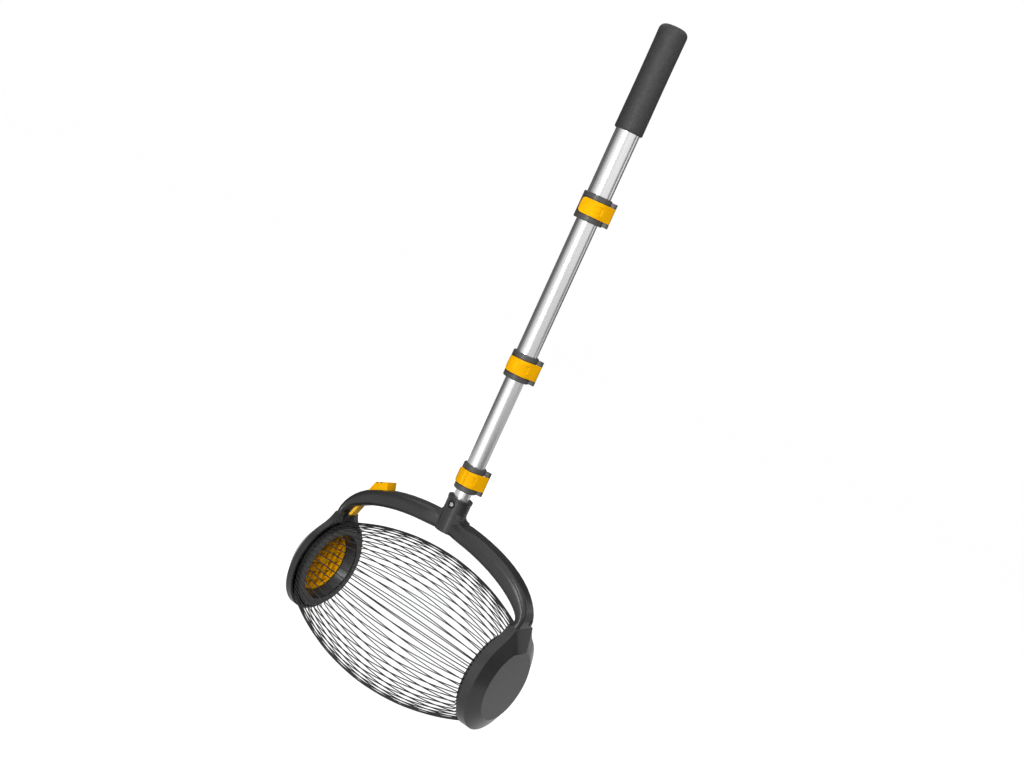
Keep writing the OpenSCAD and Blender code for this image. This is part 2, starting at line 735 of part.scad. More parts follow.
// Ring sector in the clamp's frame, swept backwards from an angle
module band(r0, r1, h, from, wrap) {
  rotate([0, 0, -from - wrap]) rotate_extrude(angle = wrap) translate([r0, 0]) square([r1 - r0, h]);
}

module clamp_body(n) {
  r = clamp_r[n];
  hx = r + hinge_out;
  step = clamp_h * step_share;
  cut_low = lever_low - side_gap;
  cut_h = lever_h + 2 * side_gap;
  cut_wrap = lever_wrap[n] + hinge_turn + lever_start;
  color(plastic) at_clamp(n) difference() {
    union() {
      rotate_extrude() polygon([[0, 0], [r - chamfer, 0], [r, chamfer], [r, clamp_h - chamfer],
        [r - chamfer, clamp_h], [0, clamp_h]]);
      translate([0, -lug_half, lug_low]) cube([hx, 2 * lug_half, clamp_h - 2 * lug_low]);
      translate([hx, 0, lug_low]) cylinder(r = lug_r, h = clamp_h - 2 * lug_low);
    }
    translate([0, 0, -over]) cylinder(r = tube_r[n] + slide_gap, h = clamp_h + 2 * over);
    translate([0, 0, step]) cylinder(r = tube_r[n + 1] + press_gap, h = clamp_h);
    translate([0, 0, cut_low]) band(r - lever_t, 2 * r, cut_h, -hinge_turn, cut_wrap);
    translate([hx, 0, -over]) cylinder(r = clamp_pin_r + press_gap, h = clamp_h + 2 * over);
    rotate([0, 0, slit_turn]) translate([tube_r[n] / 2, -slit_w / 2, -over])
      cube([2 * r, slit_w, step + over - lug_low]);
  }
}

module clamp_lever(n) {
  r = clamp_r[n];
  hx = r + hinge_out;
  r0 = r - lever_t + side_gap;
  r1 = r + lever_proud;
  mid = (r0 + r1) / 2;
  panel_h = lever_h * panel_h_share;
  wrap = lever_wrap[n];
  color(yellow) at_clamp(n) translate([0, 0, lever_low]) difference() {
    union() {
      band(r0, r1, lever_h, lever_start, wrap - lever_start);
      band(mid, r1 + tab_proud, lever_h, wrap - tab_wrap, tab_wrap - tab_inset);
      translate([hx, 0, 0]) cylinder(r = knuckle_r, h = lever_h);
      translate([0, 0, root_inset]) linear_extrude(lever_h - 2 * root_inset) polygon([
        [mid * cos(lever_start + root_turns[0]), -mid * sin(lever_start + root_turns[0])],
        [hx, -knuckle_r * root_shares[0]], [hx, -knuckle_r * root_shares[1]],
        [mid * cos(lever_start + root_turns[1]), -mid * sin(lever_start + root_turns[1])]]);
    }
    translate([hx, 0, -over]) cylinder(r = clamp_pin_r + run_gap, h = lever_h + 2 * over);
    translate([0, 0, (lever_h - panel_h) / 2]) band(r1 - panel_deep, 2 * r, panel_h,
      wrap * panel_shares[0], wrap * (panel_shares[1] - panel_shares[0]));
    translate([0, 0, -over])
      band(r1 - panel_deep, 2 * r, lever_h + 2 * over, wrap * groove_share, groove_wrap);
  }
}

module clamp_pin(n) {
  color(steel) at_clamp(n) translate([clamp_r[n] + hinge_out, 0, 2 * chamfer])
    cylinder(r = clamp_pin_r, h = clamp_h - 4 * chamfer);
}

module grip() {
  r = grip_d / 2;
  bore = tube_r[3] + press_gap;
  round_in = r - grip_round;
  round_up = grip_len - grip_round;
  top = [for (a = [0:15:90]) [round_in + grip_round * cos(a), round_up + grip_round * sin(a)]];
  color(foam) at_axis() translate([0, 0, grip_h]) rotate_extrude() polygon([[bore, 0], [r - grip_lip, 0],
    [r, grip_lip], each top, [0, grip_len], [0, grip_len - grip_end_t + press_gap],
    [bore, grip_len - grip_end_t + press_gap]]);
}

yoke();
left_housing();
right_cap();
cap_screws();
socket_screw();
socket_nut();
right_axle();
left_ring();
right_disc();
cage_wires();
hatch();
hatch_pin();
hatch_spring();
release_lever();
push_rod();
tube(0);  // tube_1
tube(1);  // tube_2
tube(2);  // tube_3
tube(3);  // tube_4
tube_bush(0);  // tube_bush_1
tube_bush(1);  // tube_bush_2
tube_bush(2);  // tube_bush_3
clamp_body(0);  // clamp_body_1
clamp_body(1);  // clamp_body_2
clamp_body(2);  // clamp_body_3
clamp_lever(0);  // clamp_lever_1
clamp_lever(1);  // clamp_lever_2
clamp_lever(2);  // clamp_lever_3
clamp_pin(0);  // clamp_pin_1
clamp_pin(1);  // clamp_pin_2
clamp_pin(2);  // clamp_pin_3
grip();
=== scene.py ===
# Nut gatherer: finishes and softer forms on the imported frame, in metres, Z up the handle
import json
import math

import bmesh
import bpy
from mathutils import Matrix, Vector


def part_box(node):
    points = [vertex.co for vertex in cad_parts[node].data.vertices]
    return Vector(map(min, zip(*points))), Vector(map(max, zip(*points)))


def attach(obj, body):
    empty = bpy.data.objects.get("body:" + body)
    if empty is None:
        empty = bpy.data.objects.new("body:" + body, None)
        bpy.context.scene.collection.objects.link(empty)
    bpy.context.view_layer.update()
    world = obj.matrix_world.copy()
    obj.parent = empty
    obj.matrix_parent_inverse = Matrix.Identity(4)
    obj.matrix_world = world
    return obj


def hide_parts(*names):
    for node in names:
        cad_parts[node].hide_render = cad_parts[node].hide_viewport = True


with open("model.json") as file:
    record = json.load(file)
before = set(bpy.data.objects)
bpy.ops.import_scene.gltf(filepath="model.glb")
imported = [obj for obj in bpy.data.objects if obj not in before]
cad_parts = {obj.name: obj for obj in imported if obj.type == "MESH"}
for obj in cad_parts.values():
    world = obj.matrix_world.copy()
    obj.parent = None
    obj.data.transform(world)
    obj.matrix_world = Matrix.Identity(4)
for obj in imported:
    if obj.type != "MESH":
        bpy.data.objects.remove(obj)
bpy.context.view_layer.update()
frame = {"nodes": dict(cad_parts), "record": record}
nodes = frame["nodes"]
axisHeight = 0.08805  # the roller's axis above the ground


# Small helpers for objects
def linkObject(name, data):
    made = bpy.data.objects.new(name, data)
    bpy.context.scene.collection.objects.link(made)
    return made


def meshFrom(bm, name):
    mesh = bpy.data.meshes.new(name)
    bm.to_mesh(mesh)
    bm.free()
    return mesh


# Camera
camera = {
    "azimuth": 29.38,  # degrees from straight in front, towards the closed end cap
    "elevation": 7.42,
    "roll": 24.51,
    "distance": 1.5686,
    "target": (-0.0012, -0.00015, 0.3835),
    "lens": 49.5,
    "sensor": 36,  # width in millimetres, as the lens
    "clip": (0.01, 50),
}


def addCamera(spec):
    turn = math.radians(spec["azimuth"])
    lift = math.radians(spec["elevation"])
    back = Vector((math.sin(turn) * math.cos(lift), -math.cos(turn) * math.cos(lift), math.sin(lift)))
    data = bpy.data.cameras.new("camera")
    data.lens = spec["lens"]
    data.sensor_width = spec["sensor"]
    data.sensor_fit = "HORIZONTAL"
    data.clip_start, data.clip_end = spec["clip"]
    cam = linkObject("camera", data)
    roll = Matrix.Rotation(math.radians(spec["roll"]), 3, "Z")
    facing = back.to_track_quat("Z", "Y").to_matrix() @ roll
    place = Matrix.Translation(Vector(spec["target"]) + back * spec["distance"])
    cam.matrix_world = place @ facing.to_4x4()
    bpy.context.scene.camera = cam
    print("camera: lens", spec["lens"])


addCamera(camera)


# Small helper for materials
def newMaterial(name):
    mat = bpy.data.materials.new(name)
    mat.use_nodes = True
    tree = mat.node_tree
    return mat, tree, tree.nodes["Principled BSDF"]


# Grain shared by the mouldings, the wires and the foam: a cloudy mask, fine pits and a height
grainDetail = {"cloud": 4, "pits": 2}


def makeGrainGroup(detail):
    tree = bpy.data.node_groups.new("mouldGrain", "ShaderNodeTree")
    for name in ("Cloud Scale", "Pit Scale", "Pit Share"):
        tree.interface.new_socket(name=name, in_out="INPUT", socket_type="NodeSocketFloat")
    for name in ("Cloud", "Height"):
        tree.interface.new_socket(name=name, in_out="OUTPUT", socket_type="NodeSocketFloat")
    inside = tree.nodes.new("NodeGroupInput")
    outside = tree.nodes.new("NodeGroupOutput")
    coords = tree.nodes.new("ShaderNodeTexCoord")
    cloud = tree.nodes.new("ShaderNodeTexNoise")
    cloud.inputs["Detail"].default_value = detail["cloud"]
    pits = tree.nodes.new("ShaderNodeTexNoise")
    pits.inputs["Detail"].default_value = detail["pits"]
    cells = tree.nodes.new("ShaderNodeTexVoronoi")
    mix = tree.nodes.new("ShaderNodeMix")
    link = tree.links.new
    for texture in (cloud, pits, cells):
        link(coords.outputs["Object"], texture.inputs["Vector"])
    link(inside.outputs["Cloud Scale"], cloud.inputs["Scale"])
    link(inside.outputs["Pit Scale"], pits.inputs["Scale"])
    link(inside.outputs["Pit Scale"], cells.inputs["Scale"])
    link(inside.outputs["Pit Share"], mix.inputs["Factor"])
    link(pits.outputs["Fac"], mix.inputs["A"])
    link(cells.outputs["Distance"], mix.inputs["B"])
    link(cloud.outputs["Fac"], outside.inputs["Cloud"])
    link(mix.outputs["Result"], outside.inputs["Height"])
    return tree


grainGroup = makeGrainGroup(grainDetail)


def addGrain(tree, spec):
    node = tree.nodes.new("ShaderNodeGroup")
    node.node_tree = grainGroup
    node.inputs["Cloud Scale"].default_value = spec["cloudScale"]
    node.inputs["Pit Scale"].default_value = spec["pitScale"]
    node.inputs["Pit Share"].default_value = spec["pitShare"]
    return node


def addBump(tree, height, shader, strength, distance):
    bump = tree.nodes.new("ShaderNodeBump")
    bump.inputs["Strength"].default_value = strength
    bump.inputs["Distance"].default_value = distance
    tree.links.new(height, bump.inputs["Height"])
    tree.links.new(bump.outputs["Normal"], shader.inputs["Normal"])


def addTint(tree, factor, shader, colors, span=(0, 1)):
    ramp = tree.nodes.new("ShaderNodeValToRGB")
    for element, place, color in zip(ramp.color_ramp.elements, span, colors):
        element.position = place
        element.color = color
    tree.links.new(factor, ramp.inputs["Fac"])
    tree.links.new(ramp.outputs["Color"], shader.inputs["Base Color"])


def addGloss(tree, factor, shader, roughness):
    gloss = tree.nodes.new("ShaderNodeMapRange")
    gloss.inputs["To Min"].default_value, gloss.inputs["To Max"].default_value = roughness
    tree.links.new(factor, gloss.inputs["Value"])
    tree.links.new(gloss.outputs["Result"], shader.inputs["Roughness"])


# One recipe for the moulded, coated and foamed finishes, with its own values for each
cloudSpan = (0.35, 0.65)  # stretch of the cloud mask between the dark and the light colour


def grainyMaterial(spec):
    mat, tree, shader = newMaterial(spec["name"])
    grain = addGrain(tree, spec)
    addTint(tree, grain.outputs["Cloud"], shader, (spec["dark"], spec["light"]), cloudSpan)
    addGloss(tree, grain.outputs["Height"], shader, spec["roughness"])
    shader.inputs["Specular IOR Level"].default_value = spec["specular"]
    addBump(tree, grain.outputs["Height"], shader, spec["bump"], spec["bumpDepth"])
    return mat


darkPlastic = grainyMaterial({
    "name": "darkPlastic",
    "dark": (0.017, 0.017, 0.017, 1),
    "light": (0.023, 0.023, 0.023, 1),
    "cloudScale": 40,
    "pitScale": 1600,
    "pitShare": 0.4,
    "roughness": (0.2, 0.32),
    "specular": 0.5,
    "bump": 0.12,
    "bumpDepth": 0.0002,
})
# A lighter copy of the dark plastic for the clamp bodies: painted light, standing in for the sheen and
# highlights on their rims
clampPlasticPaintedLight = grainyMaterial({
    "name": "clampPlasticPaintedLight",
    "dark": (0.044, 0.043, 0.042, 1),
    "light": (0.058, 0.057, 0.055, 1),
    "cloudScale": 60,
    "pitScale": 1800,
    "pitShare": 0.4,
    "roughness": (0.32, 0.46),
    "specular": 0.5,
    "bump": 0.1,
    "bumpDepth": 0.0002,
})
yellowPlastic = grainyMaterial({
    "name": "yellowPlastic",
    "dark": (0.71, 0.333, 0.0015, 1),
    "light": (0.78, 0.386, 0.002, 1),
    "cloudScale": 60,
    "pitScale": 1800,
    "pitShare": 0.3,
    "roughness": (0.34, 0.46),
    "specular": 0.03,
    "bump": 0.06,
    "bumpDepth": 0.0002,
})
foamSkin = grainyMaterial({
    "name": "foamSkin",
    "dark": (0.016, 0.016, 0.0165, 1),
    "light": (0.028, 0.028, 0.0285, 1),
    "cloudScale": 420,
    "pitScale": 1300,
    "pitShare": 0.75,
    "roughness": (0.46, 0.62),
    "specular": 0.5,
    "bump": 0.3,
    "bumpDepth": 0.0006,
})
wireCoat = grainyMaterial({
    "name": "wireCoat",
    "dark": (0.010, 0.010, 0.010, 1),
    "light": (0.018, 0.018, 0.018, 1),
    "cloudScale": 90,
    "pitScale": 2500,
    "pitShare": 0.3,
    "roughness": (0.30, 0.45),
    "specular": 0.5,
    "bump": 0.05,
    "bumpDepth": 0.0001,
})


# Metals: fine lines drawn along one axis, set by the stretch
drawnLines = {"detail": 3, "span": (0.3, 0.7), "bumpDepth": 0.00005}


def drawnMetal(spec):
    mat, tree, shader = newMaterial(spec["name"])
    coords = tree.nodes.new("ShaderNodeTexCoord")
    stretch = tree.nodes.new("ShaderNodeMapping")
    stretch.inputs["Scale"].default_value = spec["stretch"]
    lines = tree.nodes.new("ShaderNodeTexNoise")
    lines.inputs["Scale"].default_value = spec["lineScale"]
    lines.inputs["Detail"].default_value = drawnLines["detail"]
    tree.links.new(coords.outputs["Object"], stretch.inputs["Vector"])
    tree.links.new(stretch.outputs["Vector"], lines.inputs["Vector"])
    mask = lines.outputs["Fac"]
    addTint(tree, mask, shader, (spec["dark"], spec["light"]), drawnLines["span"])
    addGloss(tree, mask, shader, spec["roughness"])
    shader.inputs["Metallic"].default_value = 1
    addBump(tree, mask, shader, spec["bump"], drawnLines["bumpDepth"])
    return mat


alloyTube = drawnMetal({
    "name": "alloyTube",
    "stretch": (1, 1, 0.01),
    "lineScale": 900,
    "dark": (0.80, 0.80, 0.81, 1),
    "light": (0.90, 0.90, 0.91, 1),
    "roughness": (0.20, 0.32),
    "bump": 0.1,
})
zincSteel = drawnMetal({
    "name": "zincSteel",
    "stretch": (1, 1, 1),
    "lineScale": 1200,
    "dark": (0.20, 0.20, 0.205, 1),
    "light": (0.36, 0.36, 0.365, 1),
    "roughness": (0.26, 0.42),
    "bump": 0.1,
})
slotMaterials = {
    "dark_plastic": darkPlastic,
    "yellow_plastic": yellowPlastic,
    "alloy_tube": alloyTube,
    "steel": zincSteel,
    "black_wire": wireCoat,
    "foam": foamSkin,
}
print("materials:", len(slotMaterials))


# Every carried-over node takes its finish from its slot in the record
slotOf = {row["node"]: row["material_slot"] for row in frame["record"]["subparts"]}
for name, node in nodes.items():
    node.data.materials.clear()
    node.data.materials.append(slotMaterials[slotOf[name]])
print("finishes set on", len(slotOf), "nodes")


# Socket screw: steel in the middle, with painted shade where the head meets its hole
screw = {
    "node": "socket_screw",
    "bright": (0.62, 0.62, 0.63, 1),
    "dark": (0.02, 0.02, 0.02, 1),
    "rim": (0.0019, 0.0027),  # from the head's middle, where the painted shade begins
    "roughness": 0.3,
}


def paintScrewRimShade(spec):
    low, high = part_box(spec["node"])
    middle = (low + high) / 2
    mat, tree, shader = newMaterial("screwHeadPaintedShade")
    coords = tree.nodes.new("ShaderNodeTexCoord")
    flat = tree.nodes.new("ShaderNodeVectorMath")
    flat.operation = "MULTIPLY"
    flat.inputs[1].default_value = (1, 0, 1)  # the screw runs along Y
    away = tree.nodes.new("ShaderNodeVectorMath")
    away.operation = "DISTANCE"
    away.inputs[1].default_value = (middle.x, 0, middle.z)
    span = tree.nodes.new("ShaderNodeMapRange")
    span.inputs["From Min"].default_value, span.inputs["From Max"].default_value = spec["rim"]
    tree.links.new(coords.outputs["Object"], flat.inputs[0])
    tree.links.new(flat.outputs["Vector"], away.inputs[0])
    tree.links.new(away.outputs["Value"], span.inputs["Value"])
    # painted shade: the ramp darkens the head towards the edge of its hole
    addTint(tree, span.outputs["Result"], shader, (spec["bright"], spec["dark"]))
    shader.inputs["Metallic"].default_value = 1
    shader.inputs["Roughness"].default_value = spec["roughness"]
    nodes[spec["node"]].data.materials[0] = mat


paintScrewRimShade(screw)


# Push rod: a yellow leaf under the button, dark where it enters its guide
rod = {
    "node": "push_rod",
    "leaf": (0.85, 0.47, 0.03, 1),
    "dark": (0.02, 0.02, 0.02, 1),
    "from": 0.36,  # share of the rod's height
    "blend": 0.02,
    "roughness": 0.4,
    "specular": 0.1,
    "cloudScale": 60,
    "pitScale": 1800,
    "pitShare": 0.3,
    "bump": 0.06,
    "bumpDepth": 0.0002,
}


def finishRod(spec):
    low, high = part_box(spec["node"])
    mat, tree, shader = newMaterial("rodPaint")
    coords = tree.nodes.new("ShaderNodeTexCoord")
    split = tree.nodes.new("ShaderNodeSeparateXYZ")
    span = tree.nodes.new("ShaderNodeMapRange")
    tall = high.z - low.z
    span.inputs["From Min"].default_value = low.z + tall * (spec["from"] - spec["blend"])
    span.inputs["From Max"].default_value = low.z + tall * (spec["from"] + spec["blend"])
    tree.links.new(coords.outputs["Object"], split.inputs["Vector"])
    tree.links.new(split.outputs["Z"], span.inputs["Value"])
    addTint(tree, span.outputs["Result"], shader, (spec["dark"], spec["leaf"]))
    grain = addGrain(tree, spec)
    addBump(tree, grain.outputs["Height"], shader, spec["bump"], spec["bumpDepth"])
    shader.inputs["Roughness"].default_value = spec["roughness"]
    shader.inputs["Specular IOR Level"].default_value = spec["specular"]
    nodes[spec["node"]].data.materials[0] = mat


finishRod(rod)
nodes["cap_screws"].data.materials[0] = darkPlastic  # painted shade: the screws take the dark plastic so that their deep holes read as shaded


# Small helpers for pieces
mergeGap = 4e-6  # corners of the solids' loose triangles that count as one


def smoothByAngle(mesh, degrees):
    bm = bmesh.new()
    bm.from_mesh(mesh)
    for face in bm.faces:
        face.smooth = True
    for edge in bm.edges:
        edge.smooth = edge.calc_face_angle(0) <= math.radians(degrees)
    bm.to_mesh(mesh)
    bm.free()


def finishPiece(bm, name, body, slot, node, degrees):
    mesh = meshFrom(bm, name)
    smoothByAngle(mesh, degrees)
    piece = linkObject(name, mesh)
    mesh.materials.append(slotMaterials[slot])
    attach(piece, body)
    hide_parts(node)
    print("piece:", name, len(mesh.polygons), "faces")
    return piece


def mergedNode(name):
    bm = bmesh.new()
    bm.from_mesh(nodes[name].data)
    bmesh.ops.remove_doubles(bm, verts=bm.verts, dist=mergeGap)
    return bm


# Mouldings: the solids' own forms, merged so that their curved skins shade as one surface
mouldings = {"yoke": 27, "left_housing": 22, "right_cap": 22}  # degrees past which an edge stays sharp


def weighFaces(piece):
    weights = piece.modifiers.new("faceWeights", "WEIGHTED_NORMAL")
    weights.mode = "FACE_AREA"
    weights.keep_sharp = True


for name, degrees in mouldings.items():
    weighFaces(finishPiece(mergedNode(name), name + "_shell", "yoke", slotOf[name], name, degrees))


# Clamp bodies: the solids' own forms, with a wider seam round the lever, in a lighter copy of the dark
# plastic as painted light
clamps = [
    {"number": 1, "radius": 0.0138, "tube": "second_tube", "lever": "first_lever"},
    {"number": 2, "radius": 0.0153, "tube": "third_tube", "lever": "second_lever"},
    {"number": 3, "radius": 0.0168, "tube": "top_tube", "lever": "third_lever"},
]
clampHinge = 25  # degrees round the handle
clampBody = {
    "near": 0.0005,  # what lies this close to the slot's edge belongs to it
    "widen": 0.0007,
    "keep": 24,  # degrees on either side of the hinge that stay as they are
    "smooth": 30,
}


def widenSlot(bm, spec, clamp):
    low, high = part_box("clamp_lever_%d" % clamp["number"])
    for vert in bm.verts:
        turn = math.degrees(math.atan2(vert.co.y, vert.co.x))
        free = abs(turn - clampHinge) > spec["keep"]
        if free and math.hypot(vert.co.x, vert.co.y) < clamp["radius"] + spec["near"]:
            if abs(vert.co.z - low.z) < spec["near"]:
                vert.co.z -= spec["widen"]
            if abs(vert.co.z - high.z) < spec["near"]:
                vert.co.z += spec["widen"]


def buildClampBody(spec, clamp):
    name = "clamp_body_%d" % clamp["number"]
    bm = mergedNode(name)
    widenSlot(bm, spec, clamp)
    piece = finishPiece(bm, name + "_shell", clamp["tube"], slotOf[name], name, spec["smooth"])
    piece.data.materials[0] = clampPlasticPaintedLight
    weighFaces(piece)


for clamp in clamps:
    buildClampBody(clampBody, clamp)


# Cage: one bent wire swept from foot to foot, then spun round the axis
cage = {
    "count": 60,
    "radius": 0.0874,  # at the middle, to the wire's centre
    "endRadius": 0.057,
    "reach": 0.1244,
    "foot": 0.0476,  # from the axis to the bent end's tip
    "bend": 0.004,
    "wire": 0.00065,  # radius
    "sides": 8,
    "bowSteps": 44,
    "bendSteps": 6,
    "smooth": 60,
}


def wirePath(spec):
    rise = spec["radius"] - spec["endRadius"]
    bow = (spec["reach"] ** 2 + rise ** 2) / (2 * rise)
    middle = spec["radius"] - bow
    turnX = spec["reach"] - spec["bend"]
    turnZ = middle + math.sqrt((bow - spec["bend"]) ** 2 - turnX ** 2)
    start = math.asin(turnX / (bow - spec["bend"]))
    half = []
    for i in range(spec["bowSteps"] // 2 + 1):
        a = start * i / (spec["bowSteps"] // 2)
        half.append((bow * math.sin(a), middle + bow * math.cos(a), a))
    for i in range(1, spec["bendSteps"] + 1):
        a = start + (math.pi / 2 - start) * i / spec["bendSteps"]
        half.append((turnX + spec["bend"] * math.sin(a), turnZ + spec["bend"] * math.cos(a), a))
    half.append((spec["reach"], spec["foot"], math.pi / 2))
    return [(-x, z, -a) for x, z, a in reversed(half[1:])] + half


def buildCage(spec):
    bm = bmesh.new()
    path = wirePath(spec)
    frames = []
    for x, z, a in path:
        place = Matrix.Translation((x, 0, axisHeight + z))
        frames.append(place @ Matrix.Rotation(math.pi / 2 + a, 4, "Y"))
    bmesh.ops.create_circle(bm, cap_ends=True, segments=spec["sides"], radius=spec["wire"], matrix=frames[0])
    edges = bm.edges[:]
    for before, after in zip(frames, frames[1:]):
        grown = bmesh.ops.extrude_edge_only(bm, edges=edges)["geom"]
        ring = [g for g in grown if isinstance(g, bmesh.types.BMVert)]
        edges = [g for g in grown if isinstance(g, bmesh.types.BMEdge)]
        edges = [e for e in edges if e.verts[0] in ring and e.verts[1] in ring]
        bmesh.ops.transform(bm, matrix=after @ before.inverted(), verts=ring)
    bmesh.ops.contextual_create(bm, geom=edges)
    bmesh.ops.recalc_face_normals(bm, faces=bm.faces)
    step = 2 * math.pi / spec["count"]
    more = spec["count"] - 1
    bmesh.ops.spin(bm, geom=bm.verts[:] + bm.edges[:] + bm.faces[:], cent=(0, 0, axisHeight), axis=(1, 0, 0),
                   angle=step * more, steps=more, use_duplicate=True)
    finishPiece(bm, "bowed_wires", "drum", "black_wire", "cage_wires", spec["smooth"])


buildCage(cage)


# Grip: a foam sleeve turned from one outline, with a rolled lip and a domed end
grip = {
    "radius": 0.0165,
    "bore": 0.0141,
    "lip": 0.0022,
    "tuck": 0.4,  # share of the lip that the bore's edge is drawn in
    "crown": 0.007,
    "swell": 0.0003,
    "sideSteps": 16,
    "roundSteps": 8,
    "turns": 72,
    "merge": 1e-6,
    "smooth": 80,
}


def gripOutline(spec, low, high):
    outline = [(spec["bore"], low + spec["lip"] * spec["tuck"])]
    for i in range(spec["roundSteps"] + 1):
        a = math.pi / 2 * i / spec["roundSteps"]
        outline.append((spec["radius"] - spec["lip"] * (1 - math.sin(a)),
                        low + spec["lip"] * (1 - math.cos(a))))
    start = low + spec["lip"]
    run = high - spec["crown"] - start
    for i in range(1, spec["sideSteps"]):
        share = i / spec["sideSteps"]
        outline.append((spec["radius"] - spec["swell"] * math.sin(math.pi * share), start + run * share))
    for i in range(spec["roundSteps"] + 1):
        a = math.pi / 2 * i / spec["roundSteps"]
        outline.append((spec["radius"] - spec["crown"] * (1 - math.cos(a)),
                        high - spec["crown"] * (1 - math.sin(a))))
    outline.append((0, high))
    return outline


def buildGrip(spec):
    low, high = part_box("grip")
    bm = bmesh.new()
    points = [bm.verts.new((r, 0, z)) for r, z in gripOutline(spec, low.z, high.z)]
    edges = [bm.edges.new(pair) for pair in zip(points, points[1:])]
    bmesh.ops.spin(bm, geom=points + edges, cent=(0, 0, 0), axis=(0, 0, 1), angle=2 * math.pi,
                   steps=spec["turns"], use_merge=True)
    bmesh.ops.remove_doubles(bm, verts=bm.verts, dist=spec["merge"])
    bmesh.ops.recalc_face_normals(bm, faces=bm.faces)
    piece = finishPiece(bm, "foam_grip", "top_tube", "foam", "grip", spec["smooth"])


buildGrip(grip)


# Levers: a flat sheet wrapped from the hinge round the clamp, with a thumb end, a cross groove and a recess
lever = {
    "hingeOut": 0.0035,
    "knuckle": 0.003,
    "knuckleSides": 32,
    "proud": 0.0004,  # of the clamp's sleeve
    "length": 0.042,
    "thick": 0.0012,
    "corner": 0.0055,
    "rootFill": 0.00034,  # the hinge end is this much taller at top and bottom
    "lift": 0.0011,  # of the thumb end
    "liftRun": 0.009,
    # places along the wrap and the recess's height are shares
    "groove": {"place": 0.65, "half": 0.0026, "deep": 0.0008},
    "recess": {"from": 0.30, "to": 0.56, "height": 0.55, "deep": 0.0009, "slope": 0.0008, "ramp": 0.85},
    "columns": 72,
    "rows": 20,
    "edge": 0.0006,
    "edgeSegments": 2,
    "rim": 60,  # degrees past which an edge is rounded
    "smooth": 40,
}


def easeStep(value):
    held = min(max(value, 0), 1)
    return held * held * (3 - 2 * held)


def wrapLever(bm, spec, r, low, high):
    outer = r + spec["proud"]
    away = r + spec["hingeOut"]
    bend = math.acos((outer - spec["knuckle"]) / away)  # where the straight root meets the wrap
    root = away * math.sin(bend)
    wrap = spec["length"] / r
    whole = root + outer * (wrap - bend)
    recess = []
    for face in bm.faces:
        middle = face.calc_center_median()
        share = (bend + ((middle.x + 0.5) * whole - root) / outer) / wrap
        across = abs(middle.y) < spec["recess"]["height"] / 2
        if across and spec["recess"]["from"] < share < spec["recess"]["to"]:
            recess.append(face)
    for vert in bm.verts:
        along = (vert.co.x + 0.5) * whole
        left = whole - along
        half = (high - low) / 2 + spec["rootFill"] * easeStep(2 - along / root)
        if left < spec["corner"]:
            half -= spec["corner"] - math.sqrt(spec["corner"] ** 2 - (spec["corner"] - left) ** 2)
        turn = bend + max(along - root, 0) / outer
        fromGroove = abs(turn - wrap * spec["groove"]["place"]) * outer / spec["groove"]["half"]
        reach = outer + spec["lift"] * easeStep(1 - left / spec["liftRun"])
        reach -= spec["groove"]["deep"] * easeStep(1 - fromGroove)
        spot = Vector((math.cos(turn), -math.sin(turn), 0)) * reach
        spot += Vector((math.sin(bend), math.cos(bend), 0)) * max(root - along, 0)
        vert.co = (spot.x, spot.y, (low + high) / 2 + 2 * vert.co.y * half)
    return recess, away


def sinkRecess(bm, spec, faces, wrap):
    bmesh.ops.inset_region(bm, faces=faces, thickness=spec["slope"], depth=0, use_even_offset=True)
    for vert in {v for face in faces for v in face.verts}:
        share = -math.atan2(vert.co.y, vert.co.x) / wrap
        rise = (share - spec["from"]) / (spec["to"] - spec["from"])
        out = Vector((vert.co.x, vert.co.y, 0)).normalized()
        vert.co -= out * spec["deep"] * (1 - spec["ramp"] * min(max(rise, 0), 1))


def buildLever(spec, clamp):
    node = "clamp_lever_%d" % clamp["number"]
    low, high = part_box(node)
    bm = bmesh.new()
    bmesh.ops.create_grid(bm, x_segments=spec["columns"], y_segments=spec["rows"], size=0.5)  # 1 by 1
    recess, away = wrapLever(bm, spec, clamp["radius"], low.z, high.z)
    bmesh.ops.reverse_faces(bm, faces=bm.faces)  # the wrap runs clockwise
    bm.normal_update()
    bmesh.ops.solidify(bm, geom=bm.faces[:], thickness=spec["thick"])
    sinkRecess(bm, spec["recess"], recess, spec["length"] / clamp["radius"])
    rim = [e for e in bm.edges if e.calc_face_angle(0) > math.radians(spec["rim"])]
    bmesh.ops.bevel(bm, geom=rim, offset=spec["edge"], offset_type="OFFSET", affect="EDGES",
                    segments=spec["edgeSegments"], profile=0.5, material=-1, clamp_overlap=True)
    middle = Matrix.Translation((away, 0, (low.z + high.z) / 2))
    bmesh.ops.create_cone(bm, cap_ends=True, segments=spec["knuckleSides"], radius1=spec["knuckle"],
                          radius2=spec["knuckle"], depth=high.z - low.z + 2 * spec["rootFill"], matrix=middle)
    aside = Matrix.Rotation(math.radians(clampHinge), 3, "Z")
    bmesh.ops.rotate(bm, cent=(0, 0, 0), matrix=aside, verts=bm.verts)
    name = "wrapped_lever_%d" % clamp["number"]
    finishPiece(bm, name, clamp["lever"], "yellow_plastic", node, spec["smooth"])


for clamp in clamps:
    buildLever(lever, clamp)


# Button: the solid's own block with edges rounded, and painted shade on the faces in its thumb notches
button = {
    "edge": 0.0004,
    "segments": 2,
    "flat": 2,  # degrees below which faces join
    "sharp": 24,  # degrees past which an edge is rounded
    "hollow": -0.05,  # radians below which an edge is inside a notch
    "smooth": 35,
}
notchPaintedShade = grainyMaterial({
    "name": "notchPaintedShade",
    "dark": (0.06, 0.021, 0.001, 1),
    "light": (0.10, 0.036, 0.001, 1),
    "cloudScale": 300,
    "pitScale": 1800,
    "pitShare": 0.3,
    "roughness": (0.5, 0.7),
    "specular": 0.05,
    "bump": 0.06,
    "bumpDepth": 0.0002,
})


